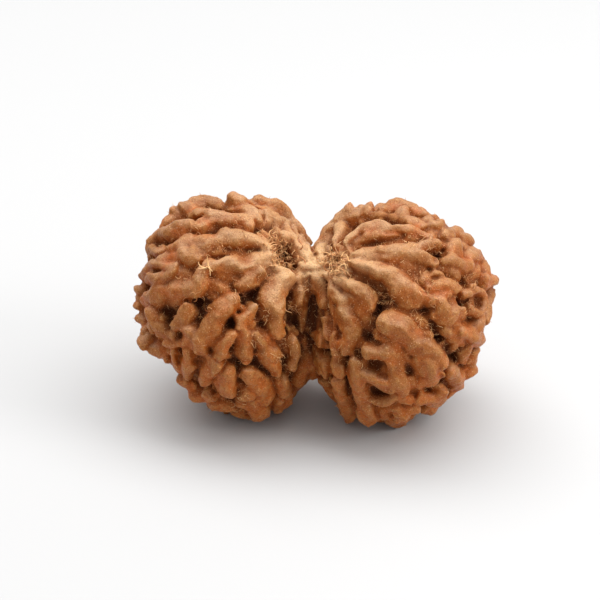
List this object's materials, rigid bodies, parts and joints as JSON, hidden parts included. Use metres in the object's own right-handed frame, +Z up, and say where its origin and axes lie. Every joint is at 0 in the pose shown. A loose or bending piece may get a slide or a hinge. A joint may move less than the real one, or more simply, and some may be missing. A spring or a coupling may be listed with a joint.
{
  "type": "twin rudraksha seed",
  "caption": "A rudraksha seed grown as a joined twin: a pair of rounded, deeply furrowed stones side by side, fused at a waist and ribbed all over, resting on worn low spots",
  "frame": {"origin": "the middle of the object's box in plan, on the surface that the seed rests on", "axes": "+X runs from one stone to the other through the joint, +Y points away from the side with both stem pits, +Z is up, away from the surface it rests on"},
  "size_m": [0.0358, 0.0213, 0.0228],
  "materials": {
    "seed_shell": "dry woody stone, warm reddish tan on the ridges, dark brown in the furrows, pale and fibrous round the stem pits, with a soft waxy sheen"
  },
  "bodies": {
    "root": {"twin_seed": "seed_shell"}
  },
  "joints": []
}
